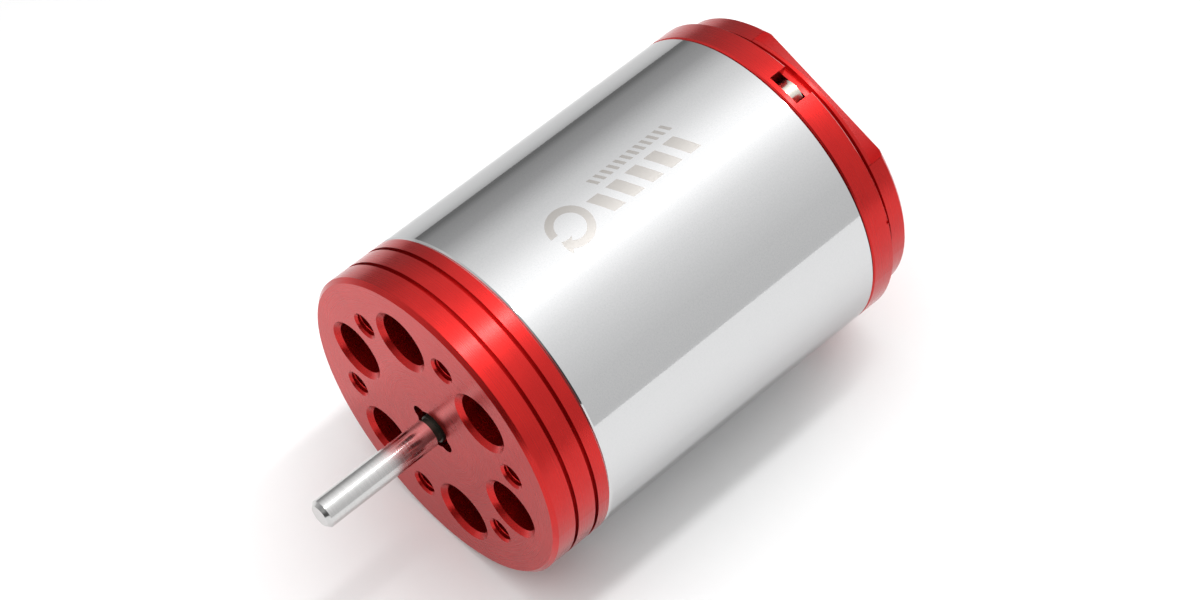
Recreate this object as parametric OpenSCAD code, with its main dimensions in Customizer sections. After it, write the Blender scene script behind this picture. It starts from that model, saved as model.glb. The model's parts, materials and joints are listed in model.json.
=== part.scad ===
// Sensored brushless motor with a 36 mm can and a 3.175 mm shaft.
// The shaft lies along Y and points towards -Y. The origin is the centre of the mounting face.
// Angles are measured round the shaft from +X towards +Z.

/* [Body] */
// Outer diameter of the can and of both end bells
body_d = 36; // [35.5:0.1:36.5]
// Wall thickness of the can
can_wall = 1; // [0.8:0.1:1.2]
// Length of the part of the front bell that stands in front of the can
bell_length = 7.38; // [7.2:0.02:7.8]
// Length of the can
can_length = 37.62; // [37:0.02:38.4]
// Length of the part of the rear ring that stands behind the can
ring_length = 2.92; // [2.8:0.02:3.2]
// Thickness of the rear cap
cap_thickness = 3.14; // [3:0.02:3.4]
// Diameter of the rear cap, which steps in from the ring
cap_d = 33.8; // [33:0.1:34.4]
// Angle of the flat on the rear cap
flat_angle = 73.6; // [70:0.1:77]
// Distance from the shaft axis to the flat
flat_distance = 14.36; // [14:0.02:14.8]

/* [Front face] */
// Thickness of the front plate
plate_thickness = 3; // [2.8:0.1:3.2]
// Number of vents and of mounting holes
hole_count = 6; // [6]
// Diameter of one vent behind its chamfer
vent_d = 6.1; // [5.6:0.1:6.6]
// Chamfer at the mouth of a vent
vent_chamfer = 0.52; // [0.2:0.02:0.6]
// Pitch circle diameter of the vents
vent_pcd = 23.1; // [22.4:0.02:23.4]
// Angle of the first vent
vent_angle = 50.9; // [50:0.1:53]
// Diameter of a mounting hole, tapped M3
mount_hole_d = 2.6; // [2.4:0.05:2.7]
// Chamfer at the mouth of a mounting hole
mount_chamfer = 0.25; // [0.1:0.05:0.4]
// Pitch circle diameter of the mounting holes
mount_pcd = 25; // [24.8:0.1:25.2]
// Angle of the first mounting hole
mount_angle = 20.7; // [20:0.1:22.5]
// Width of each groove round the bell
groove_w = 0.46; // [0.3:0.02:0.7]
// Depth of each groove round the bell
groove_depth = 0.7; // [0.3:0.05:1]

/* [Shaft and rotor] */
// Diameter of the shaft at both ends
shaft_d = 3.175; // [3.175]
// Length of shaft that stands out of the front face
shaft_reach = 14.9; // [12:0.1:16]
// Diameter of the rotor magnet
magnet_d = 12; // [11.6:0.1:12.2]
// Length of the rotor magnet
magnet_length = 25; // [23:0.5:25]

/* [Stator] */
// Bore of the stator core
stator_bore_d = 14.5; // [14.4:0.1:15]
// Length of the stack of laminations
stack_length = 20; // [19:0.5:20]
// Width of each of the three teeth
tooth_w = 7; // [6:0.2:7.4]

/* [Hidden] */
$fn = 96;
body_r = body_d / 2;
edge = 0.35;
bell_edge = 0.45;
small_edge = 0.15;
steel_edge = 0.25;
cut = 0.5;
slip = 0.02;

// Stations along the shaft
can_front = bell_length;
can_rear = can_front + can_length;
ring_rear = can_rear + ring_length;
cap_rear = ring_rear + cap_thickness;
stack_mid = 26.7;
stack_front = stack_mid - stack_length / 2;
stack_rear = stack_mid + stack_length / 2;
groove_stations = [2.88, 5.56];

// Front bell
can_bore_r = body_r - can_wall;
spigot_r = can_bore_r - slip;
spigot_wall = 1.1;
spigot_length = 3.6;
bell_bore_r = spigot_r - spigot_wall;
opening_r = 2.2;
ear_reach = 2.95;
ear_w = 1.9;
ear_angle = 156;
lip = 1.2;
relief_r = 3.7;

// Bearings, 3.175 x 9.525 x 3.967
bearing_r = 4.7625;
bearing_w = 3.967;
seat_gap = 0.4;
front_seat = lip + seat_gap;
front_bearing_y = front_seat;
rear_bearing_y = 45.6;
boss_r = 6.5;
boss_margin = 0.3;
front_boss_end = front_seat + bearing_w + boss_margin;
rear_boss_start = rear_bearing_y - boss_margin;
inner_ring_r = 2.65;
inner_track_r = 2.4;
outer_ring_r = 3.8;
outer_track_r = 4;
ring_middle_r = 0.1;
ball_r = 0.79;
ball_pitch_r = 3.2;
ball_count = 7;
cage_window = 1.68;
cage_r = [2.9, 3.5];
cage_w = 2.3;
shield_t = 0.18;
shield_r = [2.78, 3.86];

// Rear ring and cap
web_front = 43.6;
web_bore_r = 11.6;
rear_spigot_front = 42;
cap_spigot_r = web_bore_r - slip;
cap_relief_r = 16.3;
cap_relief_w = 0.9;
cap_flange = 0.35;
cap_opening_r = 2.4;
cap_lip = 1;
cap_web = 0.8;
cap_spigot_wall = 1;
nick_angle = 22;
nick_w = 0.35;

// Screws
long_screw_angle = 80;
long_screw_r = 15.5;
screw_r = 1;
screw_clear_r = 1.15;
long_head_r = 1.6;
long_head_h = 1.9;
notch_w = 3.9;
notch_floor = 45.65;
cap_head_r = 1.9;
cap_head_h = 1.4;
cap_screw_angle = flat_angle + 60;
cap_screw_r = 13.7;
cap_screw_end = 44.7;
hex_r = 0.75;
hex_depth = 0.9;
flange_r = 13.2;
flange_front = 6.5;
thread_front = 7.1;

// Stator
core_gap = 0.05;
core_r = can_bore_r - core_gap;
yoke_r = 13.2;
shoe_r = 8.7;
shoe_half_angle = 53;
core_notch_w = 2.5;
core_notch_floor = 14.2;
root_overlap = 0.5;
insulator_t = 0.8;
insulator_wall = 0.6;
insulator_inset = 0.4;
insulator_lip = 0.25;
coil_r = [9, 12.9];
coil_half_angle = 57;
coil_front = 11.5;
coil_rear = 41.8;
coil_gap = 0.05;

// Rotor
shaft_front = -shaft_reach;
shaft_rear = 49.9;
shaft_r = shaft_d / 2;
core_shaft_r = 3.6;
tip_edge = 0.4;
undercut_r = 1.4;
undercut_y = [0.05, 0.7];
magnet_r = magnet_d / 2;
magnet_front = stack_mid - magnet_length / 2;
magnet_rear = stack_mid + magnet_length / 2;
sleeve_t = 0.25;
balance_t = 1.8;
balance_r = 6;
balance_drill_r = 0.5;
balance_drill_angle = 35;
balance_drill_inset = 1;
shim_r = 2.5;
shim_t = 0.3;
front_shoulder = front_seat + bearing_w + shim_t;
rear_shoulder = rear_bearing_y - shim_t;
step_r = 2.3;

// Sensor board, socket and terminals
board_front = 42.25;
board_t = 0.8;
board_r = 15.7;
board_bore_r = 6.9;
hall_size = [2.9, 1.1, 1.6];
hall_pitch_r = 8.3;
board_rear = board_front + board_t;
socket_w = 10.6;
socket_h = 3.5;
socket_low = 8.1;
socket_wall = 0.6;
socket_front = board_rear;
socket_floor = 1.6;
pin_recess = 2;
pin_count = 6;
pin_pitch = 1.5;
pin_w = 0.5;
socket_fit = 0.05;
tab_r = 10;
tab_spread = 30;
tab_w = 3;
tab_t = 1;
tab_reach = 4.6;
tab_rear = cap_rear + tab_reach;
tab_hole_r = 0.6;
tab_hole_inset = 1.6;
block_stand = 0.4;
block_rear = cap_rear + block_stand;
block_r = [8.2, 11.4];
block_half_angle = 42;
board_screw_r = 14.4;
board_screw_angles = [40, 280];
board_hole_gap = 0.1;
board_screw_size = 0.7;
board_screw_head_r = 1.2;
board_screw_head_h = 0.7;
board_screw_reach = 2;
lead_r = 0.55;
lead_gap = 0.05;

// Wave washer
washer_t = 0.35;
washer_bore_r = 3.95;
washer_gap = 0.15;

third = 120;
sixth = 60;
tooth_angles = [for (k = [0 : 2]) long_screw_angle + third * k];
cap_screw_angles = [for (k = [0 : 2]) cap_screw_angle + third * k];
tab_angles = [for (k = [-1 : 1]) flat_angle + 180 + tab_spread * k];

// Extrudes an outline in the XZ plane from y0 to y1
module along(y0, y1) {
    translate([0, y1, 0]) rotate([90, 0, 0]) linear_extrude(y1 - y0) children();
}

// Turns an outline of [radius, y] points round the shaft axis
module turned() {
    rotate([-90, 0, 0]) rotate_extrude() children();
}

module rod(y0, y1, r) {
    along(y0, y1) circle(r);
}

module tube(y0, y1, r_in, r_out) {
    along(y0, y1) difference() {
        circle(r_out);
        circle(r_in);
    }
}

// Places a child at an angle round the shaft and a distance from it
module at(angle, r = 0) {
    rotate([0, -angle, 0]) translate([r, 0, 0]) children();
}

// The part of a ring between two radii and within a half angle of +X
module sector(r, half_angle) {
    far = 2 * r[1];
    intersection() {
        difference() {
            circle(r[1]);
            circle(r[0]);
        }
        polygon([
            [0, 0],
            [far * cos(half_angle), -far * sin(half_angle)],
            [2 * far, 0],
            [far * cos(half_angle), far * sin(half_angle)]
        ]);
    }
}

// A slot that starts at a radius with a round end and runs outwards
module radial_slot(y0, y1, angle, r_centre, w) {
    at(angle) along(y0, y1) union() {
        translate([r_centre, 0]) circle(w / 2);
        translate([r_centre, -w / 2]) square([body_r, w]);
    }
}

module bell_profile() {
    g = groove_w / 2;
    deep = body_r - groove_depth;
    polygon(concat(
        [[opening_r, 0], [body_r - bell_edge, 0], [body_r, bell_edge]],
        [for (y = groove_stations) each [[body_r, y - g], [deep, y - g], [deep, y + g], [body_r, y + g]]],
        [
            [body_r, can_front - small_edge], [body_r - small_edge, can_front],
            [spigot_r, can_front], [spigot_r, can_front + spigot_length],
            [flange_r, can_front + spigot_length], [flange_r, flange_front],
            [bell_bore_r, flange_front], [bell_bore_r, plate_thickness],
            [boss_r, plate_thickness], [boss_r, front_boss_end],
            [bearing_r, front_boss_end], [bearing_r, front_seat],
            [relief_r, front_seat], [relief_r, lip], [opening_r, lip]
        ]
    ));
}

// A hole through the front plate, chamfered at 45 degrees where it meets the face
module plate_hole(r, chamfer) {
    rod(-cut, plate_thickness + cut, r);
    turned() polygon([[0, -cut], [r + chamfer + cut, -cut], [r, chamfer], [0, chamfer]]);
}

module front_end_bell() color("firebrick") difference() {
    turned() bell_profile();
    for (k = [0 : hole_count - 1]) {
        at(vent_angle + sixth * k, vent_pcd / 2) plate_hole(vent_d / 2, vent_chamfer);
        at(mount_angle + sixth * k, mount_pcd / 2) plate_hole(mount_hole_d / 2, mount_chamfer);
    }
    at(ear_angle) along(-cut, lip + cut / 5) union() {
        square([2 * ear_reach - ear_w, ear_w], center = true);
        for (s = [-1, 1]) translate([s * (ear_reach - ear_w / 2), 0]) circle(ear_w / 2);
    }
    for (a = tooth_angles) {
        at(a, long_screw_r) rod(thread_front, can_front + spigot_length + cut, screw_r);
    }
}

module can() color("silver") turned() polygon([
    [can_bore_r, can_front], [body_r - steel_edge, can_front], [body_r, can_front + steel_edge],
    [body_r, can_rear - steel_edge], [body_r - steel_edge, can_rear], [can_bore_r, can_rear]
]);

module ring_profile() {
    polygon([
        [web_bore_r, web_front], [bell_bore_r, web_front], [bell_bore_r, rear_spigot_front],
        [spigot_r, rear_spigot_front], [spigot_r, can_rear], [body_r - small_edge, can_rear],
        [body_r, can_rear + small_edge], [body_r, ring_rear - small_edge],
        [body_r - small_edge, ring_rear], [web_bore_r, ring_rear]
    ]);
}

module socket_outline(grow) {
    translate([socket_low - grow, -socket_w / 2 - grow]) square([socket_h + 2 * grow, socket_w + 2 * grow]);
}

module rear_ring() color("firebrick") difference() {
    turned() ring_profile();
    radial_slot(notch_floor, ring_rear + cut, long_screw_angle, long_screw_r, notch_w);
    for (a = tooth_angles) {
        at(a, long_screw_r) rod(rear_spigot_front - cut, ring_rear, screw_clear_r);
        at(a, long_screw_r) rod(notch_floor, ring_rear + cut, notch_w / 2);
    }
    for (a = cap_screw_angles) at(a, cap_screw_r) rod(web_front - cut, ring_rear + cut, screw_r);
    for (a = board_screw_angles) {
        at(a, board_screw_r) rod(web_front - cut, web_front + board_screw_reach, board_screw_size);
    }
    at(flat_angle) along(web_front - cut, ring_rear + cut) socket_outline(socket_fit);
    at(nick_angle) along(ring_rear - nick_w, ring_rear + cut) {
        translate([body_r - nick_w, -nick_w / 2]) square([nick_w * 2, nick_w]);
    }
}

module rear_cap() color("firebrick") {
    cap_r = cap_d / 2;
    flat_front = ring_rear + cap_relief_w + cap_flange;
    difference() {
        turned() polygon([
            [cap_opening_r, cap_rear - cap_lip], [relief_r, cap_rear - cap_lip],
            [relief_r, rear_bearing_y + bearing_w + seat_gap],
            [bearing_r, rear_bearing_y + bearing_w + seat_gap],
            [bearing_r, rear_boss_start], [cap_spigot_r, rear_boss_start],
            [cap_spigot_r, ring_rear], [cap_relief_r, ring_rear],
            [cap_relief_r, ring_rear + cap_relief_w], [cap_r, ring_rear + cap_relief_w],
            [cap_r, cap_rear - edge], [cap_r - edge, cap_rear], [cap_opening_r, cap_rear]
        ]);
        at(flat_angle) translate([flat_distance, flat_front, -body_r]) {
            cube([body_r, cap_rear + cut - flat_front, 2 * body_r]);
        }
        tube_cut();
        at(flat_angle) along(rear_boss_start - cut, cap_rear + cut) socket_outline(socket_fit);
        at(flat_angle + 180) along(rear_boss_start - cut, cap_rear + cut) {
            sector([block_r[0] - socket_fit, block_r[1] + socket_fit], block_half_angle + 1);
        }
        for (a = cap_screw_angles) {
            at(a, cap_screw_r) rod(ring_rear - cut, cap_rear + cut, screw_clear_r);
            at(a, cap_screw_r) rod(cap_rear - cap_head_h - small_edge, cap_rear + cut, cap_head_r + small_edge);
        }
    }
}

// Hollows the inner side of the cap between the bearing boss and its spigot
module tube_cut() {
    tube(rear_boss_start - cut, ring_rear + cap_web, boss_r, cap_spigot_r - cap_spigot_wall);
}

module socket_screw(y_head, y_end, r, head_r, head_h) {
    difference() {
        union() {
            rod(y_end, y_head, r);
            rod(y_head, y_head + head_h, head_r);
        }
        translate([0, y_head + head_h + cut, 0]) rotate([90, 0, 0]) {
            cylinder(h = hex_depth + cut, r = hex_r, $fn = 6);
        }
    }
}

module long_screws() color("gainsboro") for (a = tooth_angles) {
    at(a, long_screw_r) socket_screw(notch_floor, thread_front + cut, screw_r, long_head_r, long_head_h);
}

module cap_screws() color("dimgray") for (a = cap_screw_angles) {
    at(a, cap_screw_r) socket_screw(cap_rear - cap_head_h - small_edge, cap_screw_end, screw_r, cap_head_r,
        cap_head_h);
}

// One tooth of the core, with its shoe, pointing along +X
module tooth_outline() {
    length = yoke_r - shoe_r + 2 * root_overlap;
    translate([shoe_r - root_overlap, -tooth_w / 2]) square([length, tooth_w]);
    sector([stator_bore_d / 2, shoe_r], shoe_half_angle);
}

module screw_notches() {
    for (a = tooth_angles) rotate(a) {
        translate([core_notch_floor, -core_notch_w / 2]) square([body_r, core_notch_w]);
    }
}

module stator_core() color("slategray") along(stack_front, stack_rear) difference() {
    union() {
        difference() {
            circle(core_r);
            circle(yoke_r);
        }
        for (a = tooth_angles) rotate(a) tooth_outline();
    }
    screw_notches();
}

// Moulded frame that covers one end of the core and lines the slots
module insulator(y0, y1) color("ivory") along(y0, y1) difference() {
    union() {
        difference() {
            circle(core_r - insulator_inset);
            circle(yoke_r - insulator_lip);
        }
        for (a = tooth_angles) rotate(a) {
            translate([shoe_r - root_overlap, -tooth_w / 2 - insulator_wall + coil_gap]) {
                square([yoke_r - shoe_r + 2 * root_overlap, tooth_w + 2 * insulator_wall - 2 * coil_gap]);
            }
            sector([stator_bore_d / 2 + insulator_lip, shoe_r], shoe_half_angle - 2);
        }
    }
    screw_notches();
}

module front_insulator() insulator(stack_front - insulator_t, stack_front);

module rear_insulator() insulator(stack_rear, stack_rear + insulator_t);

// One coil wound round a tooth: a ring sector with the tooth left out of the middle
module winding(angle) color("chocolate") at(angle) difference() {
    along(coil_front, coil_rear) sector(coil_r, coil_half_angle);
    inner_w = tooth_w + 2 * insulator_wall;
    translate([0, stack_front - insulator_t - coil_gap, -inner_w / 2]) {
        cube([body_r, stack_length + 2 * insulator_t + 2 * coil_gap, inner_w]);
    }
}

module winding_a() winding(tooth_angles[0]);

module winding_b() winding(tooth_angles[1]);

module winding_c() winding(tooth_angles[2]);

module board_outline() {
    difference() {
        circle(board_r);
        circle(board_bore_r);
        for (a = tooth_angles) rotate(a) {
            translate([core_notch_floor, -core_notch_w / 2]) square([body_r, core_notch_w]);
        }
        for (a = board_screw_angles) {
            rotate(a) translate([board_screw_r, 0]) circle(board_screw_size + board_hole_gap);
        }
        for (a = tab_angles) rotate(a) translate([tab_r, 0]) circle(lead_r + 2 * lead_gap);
    }
}

module sensor_board() color("darkgreen") along(board_front, board_rear) board_outline();

module hall_sensors() color("black") for (k = [0 : 2]) {
    at(long_screw_angle + sixth + third * k, hall_pitch_r) {
        translate([-hall_size[2] / 2, board_rear, -hall_size[0] / 2]) {
            cube([hall_size[2], hall_size[1], hall_size[0]]);
        }
    }
}

module board_screws() color("silver") for (a = board_screw_angles) at(a, board_screw_r) {
    rod(board_front, web_front + board_screw_reach, board_screw_size);
    rod(board_front - board_screw_head_h, board_front, board_screw_head_r);
}

module sensor_socket() color("ivory") at(flat_angle) difference() {
    along(socket_front, cap_rear) socket_outline(0);
    along(socket_front + socket_floor, cap_rear + cut) socket_outline(-socket_wall);
    for (k = [0 : pin_count - 1]) sensor_pin(k, socket_fit);
}

module sensor_pin(k, grow) {
    w = pin_w + 2 * grow;
    x = socket_low + socket_h / 2 - w / 2;
    z = (k - (pin_count - 1) / 2) * pin_pitch - w / 2;
    translate([x, socket_front - (grow > 0 ? cut : 0), z]) {
        cube([w, cap_rear - pin_recess - socket_front + (grow > 0 ? cut : 0), w]);
    }
}

module sensor_pins() color("gold") at(flat_angle) for (k = [0 : pin_count - 1]) sensor_pin(k, 0);

module tab_slot(grow, y0, y1) {
    translate([tab_r - tab_t / 2 - grow, y0, -tab_w / 2 - grow]) {
        cube([tab_t + 2 * grow, y1 - y0, tab_w + 2 * grow]);
    }
}

module terminal_block() color("ivory") difference() {
    at(flat_angle + 180) along(rear_boss_start, block_rear) sector(block_r, block_half_angle);
    for (a = tab_angles) at(a) tab_slot(lead_gap, rear_boss_start - cut, block_rear + cut);
}

module solder_tab(angle) color("gold") at(angle) difference() {
    tab_slot(0, rear_boss_start, tab_rear);
    translate([0, tab_rear - tab_hole_inset, 0]) rotate([0, 90, 0]) cylinder(h = body_r, r = tab_hole_r);
}

module solder_tab_a() solder_tab(tab_angles[0]);

module solder_tab_b() solder_tab(tab_angles[1]);

module solder_tab_c() solder_tab(tab_angles[2]);

module phase_leads() color("chocolate") for (a = tab_angles) {
    at(a, tab_r) rod(coil_rear, rear_boss_start, lead_r);
}

module outer_ring(y0) {
    mid = y0 + bearing_w / 2;
    color("silver") difference() {
        tube(y0, y0 + bearing_w, outer_ring_r, bearing_r);
        turned() translate([ball_pitch_r, mid]) circle(outer_track_r - ball_pitch_r);
        for (y = [y0 + shield_t / 2, y0 + bearing_w - shield_t / 2]) {
            tube(y - shield_t / 2 - slip, y + shield_t / 2 + slip, ring_middle_r, shield_r[1] + slip);
        }
    }
}

module inner_ring(y0) {
    mid = y0 + bearing_w / 2;
    color("silver") difference() {
        tube(y0, y0 + bearing_w, shaft_r, inner_ring_r);
        turned() translate([ball_pitch_r, mid]) circle(ball_pitch_r - inner_track_r);
    }
}

module balls(y0) {
    color("white") for (k = [0 : ball_count - 1]) {
        at(360 / ball_count * k, ball_pitch_r) translate([0, y0 + bearing_w / 2, 0]) sphere(ball_r);
    }
}

module cage(y0) {
    mid = y0 + bearing_w / 2;
    color("goldenrod") difference() {
        tube(mid - cage_w / 2, mid + cage_w / 2, cage_r[0], cage_r[1]);
        for (k = [0 : ball_count - 1]) {
            at(360 / ball_count * k) translate([0, mid - cage_window / 2, -cage_window / 2]) {
                cube([bearing_r, cage_window, cage_window]);
            }
        }
    }
}

module shields(y0) color("lightgray") for (y = [y0, y0 + bearing_w - shield_t]) {
    tube(y, y + shield_t, shield_r[0], shield_r[1]);
}

module front_outer_ring() outer_ring(front_bearing_y);

module front_inner_ring() inner_ring(front_bearing_y);

module front_balls() balls(front_bearing_y);

module front_cage() cage(front_bearing_y);

module front_shields() shields(front_bearing_y);

module rear_outer_ring() outer_ring(rear_bearing_y);

module rear_inner_ring() inner_ring(rear_bearing_y);

module rear_balls() balls(rear_bearing_y);

module rear_cage() cage(rear_bearing_y);

module rear_shields() shields(rear_bearing_y);

module wave_washer() color("silver") {
    seat = rear_bearing_y + bearing_w;
    tube(seat, seat + washer_t, washer_bore_r, bearing_r - washer_gap);
}

module shaft() color("lightgray") turned() polygon([
    [0, shaft_front], [shaft_r - tip_edge, shaft_front], [shaft_r, shaft_front + tip_edge],
    [shaft_r, -undercut_y[1]], [undercut_r, -undercut_y[1]], [undercut_r, -undercut_y[0]],
    [shaft_r, -undercut_y[0]], [shaft_r, front_shoulder],
    [step_r, front_shoulder], [step_r, magnet_front - balance_t],
    [core_shaft_r, magnet_front - balance_t], [core_shaft_r, magnet_rear + balance_t],
    [step_r, magnet_rear + balance_t], [step_r, rear_shoulder], [shaft_r, rear_shoulder],
    [shaft_r, shaft_rear - tip_edge / 2], [shaft_r - tip_edge / 2, shaft_rear], [0, shaft_rear]
]);

module rotor_magnet() color("dimgray") tube(magnet_front, magnet_rear, core_shaft_r, magnet_r);

module rotor_sleeve() color("darkslategray") {
    tube(magnet_front, magnet_rear, magnet_r, magnet_r + sleeve_t);
}

module balance_ring(y0) color("goldenrod") difference() {
    tube(y0, y0 + balance_t, core_shaft_r, balance_r);
    at(balance_drill_angle, balance_r - balance_drill_inset) {
        rod(y0 + balance_t / 2, y0 + balance_t + cut, balance_drill_r);
    }
}

module front_balance_ring() balance_ring(magnet_front - balance_t);

module rear_balance_ring() balance_ring(magnet_rear);

module front_shim() color("silver") {
    tube(front_shoulder - shim_t, front_shoulder, shaft_r, shim_r);
}

module rear_shim() color("silver") tube(rear_shoulder, rear_shoulder + shim_t, shaft_r, shim_r);

front_end_bell();
can();
rear_ring();
rear_cap();
long_screws();
cap_screws();
stator_core();
front_insulator();
rear_insulator();
winding_a();
winding_b();
winding_c();
sensor_board();
hall_sensors();
board_screws();
sensor_socket();
sensor_pins();
terminal_block();
solder_tab_a();
solder_tab_b();
solder_tab_c();
phase_leads();
front_outer_ring();
front_inner_ring();
front_balls();
front_cage();
front_shields();
rear_outer_ring();
rear_inner_ring();
rear_balls();
rear_cage();
rear_shields();
wave_washer();
shaft();
rotor_magnet();
rotor_sleeve();
front_balance_ring();
rear_balance_ring();
front_shim();
rear_shim();
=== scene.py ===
"""Looks for a 36 mm brushless motor. The shaft lies along Y and the motor lies on its side on a pale floor."""
import json
import math

import bpy
import numpy as np
from mathutils import Matrix, Vector


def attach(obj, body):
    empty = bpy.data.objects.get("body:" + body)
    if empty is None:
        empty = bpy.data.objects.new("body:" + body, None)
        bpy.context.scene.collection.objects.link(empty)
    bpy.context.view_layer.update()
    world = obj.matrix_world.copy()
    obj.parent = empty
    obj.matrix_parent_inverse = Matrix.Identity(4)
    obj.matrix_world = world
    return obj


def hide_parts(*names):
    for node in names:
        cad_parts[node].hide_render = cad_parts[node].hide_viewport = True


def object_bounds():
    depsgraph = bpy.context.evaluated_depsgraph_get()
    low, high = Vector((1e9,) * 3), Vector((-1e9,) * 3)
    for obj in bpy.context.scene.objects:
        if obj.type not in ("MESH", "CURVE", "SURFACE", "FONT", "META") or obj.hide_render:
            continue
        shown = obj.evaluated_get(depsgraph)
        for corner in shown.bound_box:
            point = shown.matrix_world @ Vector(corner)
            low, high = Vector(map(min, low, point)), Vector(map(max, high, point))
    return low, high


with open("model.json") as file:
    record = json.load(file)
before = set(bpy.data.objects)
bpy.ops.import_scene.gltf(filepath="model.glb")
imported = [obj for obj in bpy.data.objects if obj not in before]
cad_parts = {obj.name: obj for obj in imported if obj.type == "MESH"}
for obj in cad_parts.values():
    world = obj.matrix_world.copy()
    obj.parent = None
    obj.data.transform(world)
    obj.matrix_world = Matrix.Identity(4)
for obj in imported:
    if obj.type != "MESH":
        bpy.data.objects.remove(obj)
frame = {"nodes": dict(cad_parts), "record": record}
bpy.context.view_layer.update()
CAD_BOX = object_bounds()
NODES = frame["nodes"]
MM = 0.001

# View: where the camera stands, and how far the middle of the picture is from the mounting face's centre
VIEW_AZIMUTH = 46.41
VIEW_ELEVATION = 54.34
VIEW_DISTANCE = 0.32674
VIEW_OFFSET = (0.01673, 0.01291)
LENS_MM = 98.0

# Floor
FLOOR_LOW = (-0.19, -0.55)
FLOOR_HIGH = (0.75, 0.75)
# Painted shade: the floor is painted grey towards its edge on the -X side, standing in for light that falls off
# with distance
FLOOR_SHADE_FROM = -0.03
FLOOR_SHADE = (0.33, 0.33, 0.33)

# Studio light: angle round the shaft axis in degrees, from +X over the top towards -X, and brightness.
# The cards stand behind the motor, where its round sides mirror them. The key light fills the rest of the room.
CARDS = (
    (-90, 0.85), (-3, 0.80), (2, 0.76), (25, 0.80), (41, 0.90), (57, 1.04), (67, 1.18), (77, 1.42), (87, 1.70),
    (88, 20.0), (92, 20.0), (93, 1.70), (106, 1.52), (114, 1.34), (122, 1.16), (130, 1.02), (140, 0.90),
    (146, 0.78), (154, 0.62), (162, 0.47), (178, 0.38), (186, 0.22), (270, 0.20),
)
KEY = (
    (-90, 0.30), (10, 0.30), (45, 0.50), (70, 1.50), (92, 2.40), (130, 2.30), (155, 1.10), (180, 0.60), (270, 0.30),
)
# Where along Y the cards start and end, and how far their edges fade
CARDS_Y = (0.12, 0.68)
CARDS_FADE = 0.16
# How dark the room is straight ahead of the shaft, and where along Y that starts and is full
AHEAD_LEVEL = 0.2
AHEAD_FROM = -0.62
AHEAD_FULL = -0.86

# Angles round the shaft, in degrees from +X towards +Z
MOUNT_ANGLE = 20.7
TOOTH_ANGLES = (80.0, 200.0, 320.0)
MARK_ANGLE = 87.0
# The milled flat on the rear cap: the way it faces, its distance from the axis, half its width, and
# how far from the motor's rear end the cap starts, in millimetres
FLAT_ANGLE = 73.6
FLAT_DISTANCE = 14.36
FLAT_HALF = 8.5
CAP_DEPTH = 8.0
# How far the shaft's relief reaches out of the face and into it, in millimetres. The shaft is painted near black
# there as shade.
RELIEF_END = 0.75
RELIEF_START = 2.0
# The laser mark, in millimetres: the can's radius, and the turning arrow's place, radius and half width.
# The arrow's ring is open from ARROW_OPEN to its tip, in radians.
CAN_R = 18.0
ARROW_Y = 18.2
ARROW_R = 2.1
ARROW_HALF = 0.45
ARROW_OPEN = -2.2
ARROW_TIP = -2.75


# ---------------------------------------------------------------- shader helpers

class Shader:
    """One material's node tree, with short calls for the nodes it needs."""

    def __init__(self, name, **sockets):
        self.material = bpy.data.materials.new(name)
        self.material.use_nodes = True
        self.tree = self.material.node_tree
        self.surface = self.tree.nodes["Principled BSDF"]
        for key, value in sockets.items():
            self.put(key.replace("_", " "), value)

    def put(self, socket, value):
        """Sets a socket of the surface shader to a number or colour, or links another node's output to it."""
        target = self.surface.inputs[socket]
        if isinstance(value, bpy.types.NodeSocket):
            self.tree.links.new(value, target)
        else:
            target.default_value = value

    def add(self, kind, inputs=None, **settings):
        made = self.tree.nodes.new("ShaderNode" + kind)
        for key, value in settings.items():
            setattr(made, key, value)
        for key, value in (inputs or {}).items():
            if isinstance(value, bpy.types.NodeSocket):
                self.tree.links.new(value, made.inputs[key])
            else:
                made.inputs[key].default_value = value
        return made

    def math(self, operation, a, b=0.0, c=0.0):
        return self.add("Math", {0: a, 1: b, 2: c}, operation=operation).outputs[0]

    def place(self):
        """The point on the piece in millimetres, as x, y and z."""
        if not hasattr(self, "point"):
            point = self.add("TexCoord").outputs["Object"]
            scaled = self.add("VectorMath", {0: point, "Scale": 1 / MM}, operation="SCALE").outputs[0]
            parts = self.add("SeparateXYZ", {0: scaled}).outputs
            self.point = (scaled, parts[0], parts[1], parts[2])
        return self.point

    def round_place(self):
        """Distance from the shaft axis in millimetres, place along it, and angle round it in radians."""
        if not hasattr(self, "polar"):
            _, x, y, z = self.place()
            reach = self.math("SQRT", self.math("ADD", self.math("MULTIPLY", x, x), self.math("MULTIPLY", z, z)))
            self.polar = (reach, y, self.math("ARCTAN2", z, x))
        return self.polar

    def noise(self, vector, scale, detail=2.0, rough=0.5):
        """Noise from 0 to 1."""
        inputs = {"Vector": vector, "Scale": scale, "Detail": detail, "Roughness": rough}
        return self.add("TexNoise", inputs).outputs["Fac"]

    def spread(self, value, low, high, out_low, out_high):
        """Maps low..high to out_low..out_high, and clamps it there."""
        return self.add("MapRange", {0: value, 1: low, 2: high, 3: out_low, 4: out_high}).outputs[0]

    def mottle(self, value):
        """Stretches the middle of a noise to the full range."""
        return self.spread(value, 0.3, 0.7, 0.0, 1.0)

    def blend(self, factor, a, b):
        """A mix of two colours."""
        made = self.add("Mix", {0: factor}, data_type="RGBA")
        for slot, value in ((6, a), (7, b)):
            if isinstance(value, bpy.types.NodeSocket):
                self.tree.links.new(value, made.inputs[slot])
            else:
                made.inputs[slot].default_value = value
        return made.outputs[2]

    def mix(self, factor, a, b):
        """A mix of two numbers."""
        return self.add("Mix", {0: factor, 2: a, 3: b}).outputs[0]

    def bump(self, height, strength, distance_mm=0.02):
        made = self.add("Bump", {"Height": height, "Strength": strength, "Distance": distance_mm * MM})
        self.put("Normal", made.outputs[0])


def rgb(r, g, b):
    return (r, g, b, 1.0)


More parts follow.
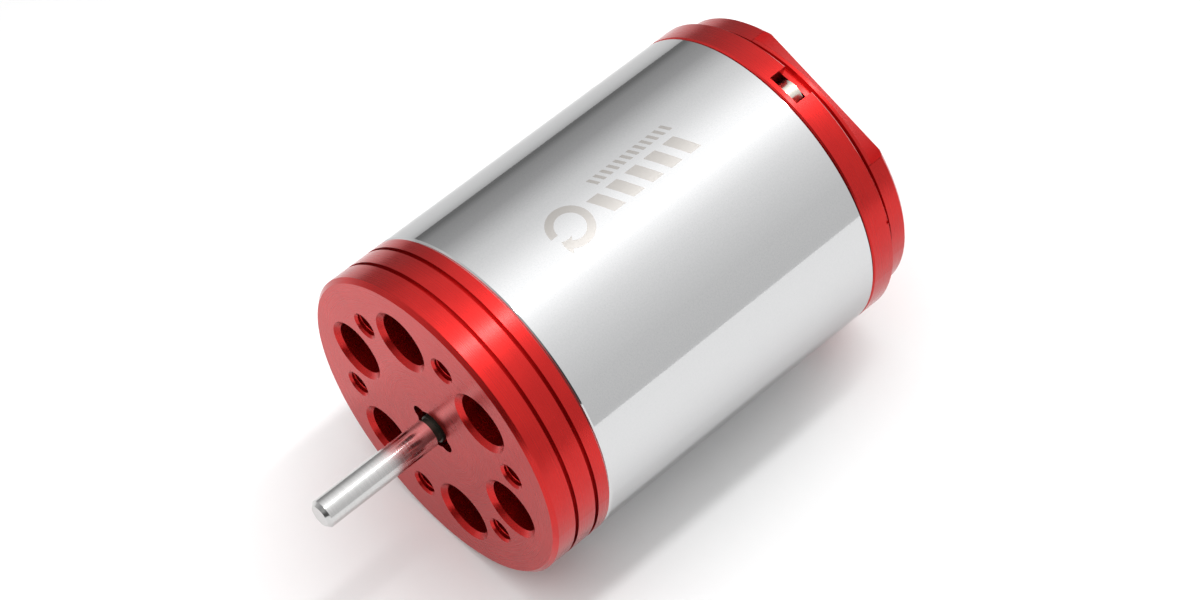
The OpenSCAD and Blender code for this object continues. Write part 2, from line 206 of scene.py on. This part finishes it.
def lathe_marks(shader, fine, along=1.0):
    """Noise drawn out round the shaft axis, as a turning tool leaves it."""
    reach, y, angle = shader.round_place()
    vector = shader.add("CombineXYZ", {
        0: shader.math("MULTIPLY", reach, fine),
        1: shader.math("MULTIPLY", y, fine * along),
        2: shader.math("MULTIPLY", angle, 0.6),
    }).outputs[0]
    return shader.noise(vector, 1.0, 3.0, 0.6)


def red_anodised():
    """Turned and dyed aluminium. The flat milled on the rear cap is rougher and a darker red than the turned faces,
    and painted shade darkens it towards both its ends.
    """
    s = Shader("red_anodised", Metallic=0.93, Coat_IOR=1.32, Coat_Roughness=0.22)
    marks = lathe_marks(s, 9.0)
    point, x, y, z = s.place()
    cloud = s.noise(point, 0.35, 3.0)
    turned = s.blend(s.mottle(cloud), rgb(0.50, 0.004, 0.003), rgb(0.56, 0.007, 0.005))
    facing = math.radians(FLAT_ANGLE)
    away = s.math("ADD", s.math("MULTIPLY", x, math.cos(facing)), s.math("MULTIPLY", z, math.sin(facing)))
    on_flat = s.math("LESS_THAN", s.math("ABSOLUTE", s.math("SUBTRACT", away, FLAT_DISTANCE)), 0.02)
    milled = s.math("MULTIPLY", on_flat, s.math("GREATER_THAN", y, CAD_BOX[1].y / MM - CAP_DEPTH))
    along = s.math("SUBTRACT", s.math("MULTIPLY", z, math.cos(facing)), s.math("MULTIPLY", x, math.sin(facing)))
    # Painted shade: the flat's red darkens and its coat thins towards both ends of the flat
    flat_end_shade = s.spread(s.math("ABSOLUTE", along), 1.0, FLAT_HALF, 0.0, 1.0)
    flat = s.blend(flat_end_shade, rgb(0.26, 0.006, 0.006), rgb(0.17, 0.003, 0.003))
    s.put("Coat Weight", s.math("SUBTRACT", 1.0, s.math("MULTIPLY", milled, s.spread(flat_end_shade, 0.0, 1.0, 0.25, 0.95))))
    s.put("Base Color", s.blend(milled, turned, flat))
    s.put("Roughness", s.mix(milled, s.spread(marks, 0.3, 0.7, 0.24, 0.34), 0.42))
    s.put("Specular Tint", rgb(0.60, 0.20, 0.20))
    s.put("Anisotropic", 0.35)
    s.bump(marks, 0.10, 0.01)
    return s.material


def mark_mask(s):
    """One where the laser mark is: a turning arrow, a row of slanted bars and a finer row beside it."""
    reach, y, angle = s.round_place()
    across = s.math("MULTIPLY", s.math("SUBTRACT", angle, math.radians(MARK_ANGLE)), CAN_R)

    def bars(low, high, near, far, pitch, share):
        """Slanted bars from low to high along the shaft, and from near to far across it."""
        lean = s.math("ADD", y, s.math("MULTIPLY", across, 0.5))
        step = s.math("FRACT", s.math("DIVIDE", s.math("SUBTRACT", lean, low), pitch))
        shape = s.math("LESS_THAN", step, share)
        for value, level, side in ((across, near, "GREATER_THAN"), (across, far, "LESS_THAN"),
                                   (lean, low, "GREATER_THAN"), (lean, high, "LESS_THAN")):
            shape = s.math("MULTIPLY", shape, s.math(side, value, level))
        return shape

    rows = s.math("MAXIMUM", bars(21.9, 34.6, -1.6, 1.1, 2.6, 0.6), bars(24.6, 35.2, 1.9, 3.0, 0.9, 0.5))
    along = s.math("SUBTRACT", y, ARROW_Y)
    far = s.math("SQRT", s.math("ADD", s.math("MULTIPLY", along, along), s.math("MULTIPLY", across, across)))
    off = s.math("ABSOLUTE", s.math("SUBTRACT", far, ARROW_R))
    turn = s.math("ARCTAN2", across, along)
    ring = s.math("MULTIPLY", s.math("LESS_THAN", off, ARROW_HALF), s.math("GREATER_THAN", turn, ARROW_OPEN))
    flare = s.math("MULTIPLY", s.math("SUBTRACT", turn, ARROW_TIP), 1.9)
    head = s.math("MULTIPLY", s.math("LESS_THAN", off, flare), s.math("LESS_THAN", turn, ARROW_OPEN))
    skin = s.math("GREATER_THAN", reach, CAN_R - 0.1)
    return s.math("MULTIPLY", s.math("MAXIMUM", rows, s.math("MAXIMUM", ring, head)), skin)


def polished_steel():
    """The can: a near mirror, with the laser mark etched matt."""
    s = Shader("polished_steel", Metallic=1.0)
    marks = lathe_marks(s, 5.0)
    mask = mark_mask(s)
    grain = s.noise(s.place()[0], 6.0, 2.0)
    steel = s.blend(s.mottle(grain), rgb(0.60, 0.605, 0.61), rgb(0.63, 0.63, 0.635))
    s.put("Base Color", s.blend(mask, steel, rgb(0.35, 0.335, 0.32)))
    polished = s.spread(marks, 0.3, 0.7, 0.04, 0.07)
    s.put("Roughness", s.mix(mask, polished, 0.45))
    s.put("Specular Tint", rgb(0.72, 0.72, 0.72))
    s.bump(marks, 0.01, 0.005)
    return s.material


def turned_metal(name, colour, rough, fine=8.0, depth=0.06):
    """A bright metal with fine marks that run round the shaft axis."""
    s = Shader(name, Metallic=1.0)
    marks = lathe_marks(s, fine)
    darker = rgb(*[c * 0.9 for c in colour])
    s.put("Base Color", s.blend(s.mottle(marks), darker, rgb(*colour)))
    s.put("Roughness", s.spread(marks, 0.3, 0.7, rough * 0.8, rough * 1.25))
    s.bump(marks, depth, 0.01)
    return s.material


def ground_steel():
    """The shaft: bright where it was ground, with painted shade in the relief at its root."""
    s = Shader("ground_steel", Metallic=1.0)
    marks = lathe_marks(s, 6.0)
    y = s.place()[2]
    # Painted shade: the relief at the root, deep in the face's opening, is painted near black
    root = s.math("MULTIPLY", s.math("GREATER_THAN", y, -RELIEF_END), s.math("LESS_THAN", y, RELIEF_START))
    bright = s.blend(s.mottle(marks), rgb(0.54, 0.535, 0.53), rgb(0.60, 0.595, 0.59))
    s.put("Base Color", s.blend(root, bright, rgb(0.06, 0.055, 0.045)))
    s.put("Roughness", s.mix(root, s.spread(marks, 0.3, 0.7, 0.13, 0.20), 0.5))
    s.bump(marks, 0.04, 0.01)
    return s.material


def grained_metal(name, colour, rough, scale=3.0, depth=0.05):
    """A metal with a fine grain that runs no one way."""
    s = Shader(name, Metallic=1.0)
    grain = s.noise(s.place()[0], scale, 4.0, 0.6)
    darker = rgb(*[c * 0.86 for c in colour])
    s.put("Base Color", s.blend(s.mottle(grain), darker, rgb(*colour)))
    s.put("Roughness", s.spread(grain, 0.3, 0.7, rough * 0.8, rough * 1.25))
    s.bump(grain, depth, 0.01)
    return s.material


def laminations():
    """Thin coated sheets stacked along the shaft."""
    s = Shader("laminations", Metallic=0.85)
    _, y, _ = s.round_place()
    sheet = s.math("PINGPONG", y, 0.175)
    edge = s.spread(sheet, 0.0, 0.05, 0.0, 1.0)
    grain = s.noise(s.place()[0], 2.5, 4.0)
    body = s.blend(grain, rgb(0.20, 0.21, 0.23), rgb(0.32, 0.33, 0.36))
    s.put("Base Color", s.blend(edge, rgb(0.05, 0.05, 0.055), body))
    s.put("Roughness", s.spread(grain, 0.3, 0.7, 0.38, 0.55))
    s.bump(edge, 0.5, 0.03)
    return s.material


def moulded(name, colour, rough=0.45, scale=4.0, depth=0.12, clear=0.0):
    """Moulded plastic, with a faint grain and, where asked, a clear gloss."""
    s = Shader(name, Coat_Weight=clear, Coat_Roughness=0.15)
    grain = s.noise(s.place()[0], scale, 4.0, 0.6)
    darker = rgb(*[c * 0.88 for c in colour])
    s.put("Base Color", s.blend(s.mottle(grain), darker, rgb(*colour)))
    s.put("Roughness", s.spread(grain, 0.3, 0.7, rough * 0.85, rough * 1.15))
    s.bump(grain, depth, 0.02)
    return s.material


def enamelled_copper():
    """Copper wire under a clear enamel."""
    s = Shader("enamelled_copper", Metallic=0.9, Coat_Weight=0.8, Coat_Roughness=0.1)
    grain = s.noise(s.place()[0], 0.9, 3.0)
    s.put("Base Color", s.blend(s.mottle(grain), rgb(0.50, 0.15, 0.045), rgb(0.72, 0.27, 0.08)))
    s.put("Roughness", s.spread(grain, 0.3, 0.7, 0.22, 0.34))
    s.bump(grain, 0.1, 0.02)
    return s.material


def circuit_board():
    """Green board with lighter tracks under the lacquer."""
    s = Shader("circuit_board", Coat_Weight=0.6, Coat_Roughness=0.12)
    reach, _, angle = s.round_place()
    wander = s.math("ADD", reach, s.math("SINE", s.math("MULTIPLY", angle, 3.0)))
    tracks = s.math("LESS_THAN", s.math("PINGPONG", wander, 0.45), 0.14)
    grain = s.noise(s.place()[0], 5.0, 3.0)
    board = s.blend(grain, rgb(0.008, 0.10, 0.035), rgb(0.015, 0.15, 0.055))
    s.put("Base Color", s.blend(tracks, board, rgb(0.03, 0.24, 0.08)))
    s.put("Roughness", s.spread(grain, 0.3, 0.7, 0.3, 0.42))
    s.bump(tracks, 0.3, 0.02)
    return s.material


def wound_fibre():
    """Resin-bound fibre wound round the magnet at a small angle."""
    s = Shader("wound_fibre", Coat_Weight=0.7, Coat_Roughness=0.12)
    _, y, angle = s.round_place()
    strand = s.math("PINGPONG", s.math("ADD", y, s.math("MULTIPLY", angle, 0.25)), 0.3)
    tone = s.spread(strand, 0.0, 0.3, 0.0, 1.0)
    s.put("Base Color", s.blend(tone, rgb(0.008, 0.008, 0.009), rgb(0.045, 0.045, 0.05)))
    s.put("Roughness", s.spread(strand, 0.0, 0.3, 0.5, 0.32))
    s.bump(tone, 0.3, 0.03)
    return s.material


def floor_paper():
    """Pale paper, with painted shade that greys it towards the far edge on the -X side."""
    s = Shader("floor_paper")
    point = s.add("TexCoord").outputs["Object"]
    grain = s.noise(point, 400.0, 4.0)
    paper = s.blend(grain, rgb(0.74, 0.74, 0.74), rgb(0.76, 0.76, 0.76))
    # Painted shade: the floor greys towards its -X edge, where less light reaches it
    far = s.spread(s.place()[1], FLOOR_LOW[0] / MM, FLOOR_SHADE_FROM / MM, 1.0, 0.0)
    s.put("Base Color", s.blend(far, paper, rgb(*FLOOR_SHADE)))
    s.put("Roughness", s.spread(grain, 0.3, 0.7, 0.55, 0.7))
    return s.material


MATERIALS = {
    "red_anodised_aluminium": red_anodised(),
    "polished_steel": polished_steel(),
    "ground_steel": ground_steel(),
    "nickel_screw": grained_metal("nickel_screw", (0.78, 0.74, 0.66), 0.25),
    "black_screw": grained_metal("black_screw", (0.055, 0.055, 0.06), 0.38, 6.0, 0.1),
    "lamination_steel": laminations(),
    "moulded_insulator": moulded("moulded_insulator", (0.72, 0.69, 0.58)),
    "enamelled_copper": enamelled_copper(),
    "circuit_board": circuit_board(),
    "sensor_package": moulded("sensor_package", (0.02, 0.02, 0.022), 0.5, 9.0),
    "connector_plastic": moulded("connector_plastic", (0.78, 0.76, 0.68), 0.32, 3.0, 0.05, 0.2),
    "terminal_plastic": moulded("terminal_plastic", (0.02, 0.02, 0.022), 0.48, 6.0),
    "gold_plate": grained_metal("gold_plate", (0.95, 0.64, 0.26), 0.22),
    "bearing_steel": turned_metal("bearing_steel", (0.60, 0.61, 0.63), 0.14, 10.0),
    "bearing_balls": grained_metal("bearing_balls", (0.72, 0.73, 0.75), 0.06, 8.0, 0.01),
    "pressed_brass": turned_metal("pressed_brass", (0.72, 0.52, 0.22), 0.28),
    "shield_steel": turned_metal("shield_steel", (0.50, 0.51, 0.53), 0.24, 10.0),
    "spring_steel": turned_metal("spring_steel", (0.38, 0.39, 0.42), 0.26, 10.0),
    "magnet": grained_metal("magnet", (0.40, 0.40, 0.41), 0.34),
    "carbon_sleeve": wound_fibre(),
}

for part in frame["record"]["subparts"]:
    shown = NODES[part["node"]]
    shown.data.materials.clear()
    shown.data.materials.append(MATERIALS[part["material_slot"]])


# ---------------------------------------------------------------- mesh helpers

def piece(name, verts, faces, body, slot, smooth=True, replaces=None):
    """Makes a mesh object from points in metres, in its slot's material, riding on a CAD body."""
    mesh = bpy.data.meshes.new(name)
    mesh.from_pydata([tuple(v) for v in verts], [], faces)
    mesh.validate()
    mesh.update()
    mesh.shade_smooth() if smooth else mesh.shade_flat()
    made = bpy.data.objects.new(name, mesh)
    bpy.context.collection.objects.link(made)
    mesh.materials.append(MATERIALS[slot])
    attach(made, body)
    if replaces:
        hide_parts(replaces)
    return made


def joined(parts):
    """Puts several (points, faces) pairs into one."""
    verts, faces = [], []
    for points, polygons in parts:
        base = len(verts)
        verts.extend(points)
        faces.extend([tuple(i + base for i in f) for f in polygons])
    return verts, faces


def on_shaft(radius, angle, y):
    """A point at a distance from the shaft axis, an angle in radians and a place along it, all in metres."""
    return Vector((radius * math.cos(angle), y, radius * math.sin(angle)))


def tube(path, radius, sides=8, closed=False):
    """A round tube along a path, its rings turned as little as possible from one to the next."""
    count = len(path)
    normal = None
    verts, faces = [], []
    for i, point in enumerate(path):
        ahead = path[(i + 1) % count] if closed or i + 1 < count else point
        behind = path[i - 1] if closed or i > 0 else point
        tangent = (ahead - behind).normalized()
        if normal is None:
            normal = tangent.orthogonal().normalized()
        normal = (normal - tangent * normal.dot(tangent)).normalized()
        side = tangent.cross(normal)
        for k in range(sides):
            a = 2 * math.pi * k / sides
            verts.append(point + normal * (radius * math.cos(a)) + side * (radius * math.sin(a)))
    rings = count if closed else count - 1
    for i in range(rings):
        low, high = i * sides, (i + 1) % count * sides
        for k in range(sides):
            n = (k + 1) % sides
            faces.append((low + k, low + n, high + n, high + k))
    if not closed:
        faces.append(tuple(reversed(range(sides))))
        faces.append(tuple(range((count - 1) * sides, count * sides)))
    return verts, faces


def reach_of(node):
    """Least and greatest distance of a node's points from the shaft axis, and least and greatest y."""
    points = np.array([v.co for v in NODES[node].data.vertices])
    radii = np.hypot(points[:, 0], points[:, 2])
    return radii.min(), radii.max(), points[:, 1].min(), points[:, 1].max()


# ---------------------------------------------------------------- windings

WIRE_R = 0.46 * MM
TOOTH_HALF = 4.15 * MM
COIL_LAYERS = 5
COIL_HALF_ANGLE = math.radians(56)
CORNER_STEPS = 6


def coil_loop(angle, radius, half_width, y_low, y_high, corner):
    """A closed path round a tooth: a rounded rectangle laid on a cylinder."""
    corners = (
        (half_width - corner, y_high - corner, 0), (-half_width + corner, y_high - corner, 90),
        (-half_width + corner, y_low + corner, 180), (half_width - corner, y_low + corner, 270),
    )
    path = []
    for cx, cy, start in corners:
        for k in range(CORNER_STEPS + 1):
            a = math.radians(start + 90 * k / CORNER_STEPS)
            path.append((cx + corner * math.cos(a), cy + corner * math.sin(a)))
    full = []
    for (x0, y0), (x1, y1) in zip(path, path[1:] + path[:1]):
        pieces_here = max(1, int(abs(x1 - x0) / (1.5 * MM)))
        for k in range(pieces_here):
            t = k / pieces_here
            full.append((x0 + (x1 - x0) * t, y0 + (y1 - y0) * t))
    return [on_shaft(radius, angle + x / radius, y) for x, y in full]


def winding(node, angle):
    """Turns of wire in rows outwards and layers away from the tooth, in place of the CAD's solid bundle."""
    r_in, r_out, y_low, y_high = reach_of(node)
    rows = int((r_out - r_in) / (2 * WIRE_R))
    end_room = reach_of("front_insulator")[2] - y_low
    loops = []
    for row in range(rows):
        radius = r_in + WIRE_R + row * (r_out - r_in - 2 * WIRE_R) / (rows - 1)
        widest = radius * COIL_HALF_ANGLE - WIRE_R
        for layer in range(COIL_LAYERS):
            t = layer / (COIL_LAYERS - 1)
            half = TOOTH_HALF + WIRE_R + (widest - TOOTH_HALF - WIRE_R) * t
            grow = WIRE_R + (end_room - 2 * WIRE_R) * (1 - t)
            corner = (1.2 + 2.4 * t) * MM
            loops.append(tube(coil_loop(angle, radius, half, y_low + grow, y_high - grow, corner), WIRE_R, 6, True))
    verts, faces = joined(loops)
    return piece(node + "_wires", verts, faces, "housing", "enamelled_copper", replaces=node)


for letter, degrees in zip("abc", TOOTH_ANGLES):
    winding("winding_" + letter, math.radians(degrees))


# ---------------------------------------------------------------- small visible details

THREAD_PITCH = 0.5 * MM
THREAD_DEPTH = 0.09 * MM


def inner_thread(centre, radius, y_low, y_high, steps=24):
    """A helical ridge of triangular section on the wall of a hole."""
    turns = (y_high - y_low - THREAD_PITCH) / THREAD_PITCH
    count = int(turns * steps)
    half = THREAD_PITCH * 0.38
    verts, faces = [], []
    for i in range(count + 1):
        a = 2 * math.pi * i / steps
        y = y_low + THREAD_PITCH / 2 + THREAD_PITCH * i / steps
        root, crest = radius + THREAD_DEPTH / 3, radius - THREAD_DEPTH
        for r, dy in ((root, -half), (crest, 0), (root, half)):
            verts.append(Vector((centre[0] + r * math.cos(a), y + dy, centre[1] + r * math.sin(a))))
    for i in range(count):
        for k in range(3):
            n = (k + 1) % 3
            faces.append((3 * i + k, 3 * i + n, 3 * i + 3 + n, 3 * i + 3 + k))
    faces.append((2, 1, 0))
    faces.append((3 * count, 3 * count + 1, 3 * count + 2))
    return verts, faces


holes = next(m for m in frame["record"]["mounts"] if m["name"] == "mounting_holes")["dims"]
PLATE = 3.0 * MM
THREAD_START = 0.1 * MM
threads = []
for k in range(holes["count"]):
    turn = math.radians(MOUNT_ANGLE + 360 / holes["count"] * k)
    spot = on_shaft(holes["pcd_mm"] / 2 * MM, turn, 0)
    threads.append(inner_thread((spot.x, spot.z), holes["hole_r_mm"] * MM, THREAD_START, PLATE))
piece("mount_hole_threads", *joined(threads), "housing", "red_anodised_aluminium")


# ---------------------------------------------------------------- floor, light, camera

def floor():
    """A flat sheet under the motor."""
    low_z = CAD_BOX[0].z
    (x0, y0), (x1, y1) = FLOOR_LOW, FLOOR_HIGH
    mesh = bpy.data.meshes.new("floor")
    mesh.from_pydata([(x0, y0, low_z), (x1, y0, low_z), (x1, y1, low_z), (x0, y1, low_z)], [], [(0, 1, 2, 3)])
    made = bpy.data.objects.new("floor", mesh)
    bpy.context.collection.objects.link(made)
    mesh.materials.append(floor_paper())


def studio():
    """A world whose brightness depends on the direction round the shaft axis and along it, like long soft boxes."""
    world = bpy.data.worlds.new("studio")
    bpy.context.scene.world = world
    world.use_nodes = True
    tree = world.node_tree

    def node(kind, inputs, operation=None):
        made = tree.nodes.new("ShaderNode" + kind)
        if operation:
            made.operation = operation
        for slot, value in inputs.items():
            if isinstance(value, bpy.types.NodeSocket):
                tree.links.new(value, made.inputs[slot])
            else:
                made.inputs[slot].default_value = value
        return made.outputs

    direction = node("TexCoord", {})["Generated"]
    x, y, z = node("SeparateXYZ", {0: direction})
    turn = node("Math", {0: node("Math", {0: z, 1: x}, "ARCTAN2")[0], 1: math.pi / 2}, "ADD")[0]
    turn = node("Math", {0: turn, 1: 2 * math.pi}, "FLOORED_MODULO")[0]
    share = node("Math", {0: turn, 1: 2 * math.pi}, "DIVIDE")[0]

    def lights(levels):
        """The brightness round the shaft, from a list of angles and levels."""
        brightest = max(level for _, level in levels)
        ramp = tree.nodes.new("ShaderNodeValToRGB")
        tree.links.new(share, ramp.inputs[0])
        stops = ramp.color_ramp.elements
        while len(stops) > 1:
            stops.remove(stops[-1])
        stops[0].position = 0
        for i, (degrees, level) in enumerate(levels):
            stop = stops[0] if i == 0 else stops.new((degrees + 90) / 360)
            stop.color = (level / brightest,) * 3 + (1,)
        return node("Math", {0: ramp.outputs[0], 1: brightest}, "MULTIPLY")[0]

    start = node("MapRange", {0: y, 1: CARDS_Y[0] - CARDS_FADE, 2: CARDS_Y[0], 3: 0.0, 4: 1.0})[0]
    end = node("MapRange", {0: y, 1: CARDS_Y[1], 2: CARDS_Y[1] + CARDS_FADE, 3: 1.0, 4: 0.0})[0]
    behind = node("Math", {0: start, 1: end}, "MULTIPLY")[0]
    mixed = tree.nodes.new("ShaderNodeMix")
    for slot, value in ((0, behind), (2, lights(KEY)), (3, lights(CARDS))):
        tree.links.new(value, mixed.inputs[slot])
    ahead = node("MapRange", {0: y, 1: AHEAD_FULL, 2: AHEAD_FROM, 3: AHEAD_LEVEL, 4: 1.0})[0]
    level = node("Math", {0: mixed.outputs[0], 1: ahead}, "MULTIPLY")[0]
    tree.links.new(level, tree.nodes["Background"].inputs[1])
    tree.nodes["Background"].inputs[0].default_value = (1, 1, 1, 1)


def camera():
    """The camera, aimed so that the mounting face's centre sits VIEW_OFFSET from the middle of the picture."""
    a, e = math.radians(VIEW_AZIMUTH), math.radians(VIEW_ELEVATION)
    back = Vector((math.sin(a) * math.cos(e), -math.cos(a) * math.cos(e), math.sin(e)))
    right = Vector((math.cos(a), math.sin(a), 0))
    up = back.cross(right)
    made = bpy.data.objects.new("camera", bpy.data.cameras.new("camera"))
    bpy.context.collection.objects.link(made)
    made.location = back * VIEW_DISTANCE + right * VIEW_OFFSET[0] + up * VIEW_OFFSET[1]
    made.rotation_mode = "QUATERNION"
    made.rotation_quaternion = Matrix((right, up, back)).transposed().to_quaternion()
    made.data.lens = LENS_MM
    made.data.clip_start = 0.01
    bpy.context.scene.camera = made


floor()
studio()
camera()
bpy.context.scene.view_settings.view_transform = "Standard"
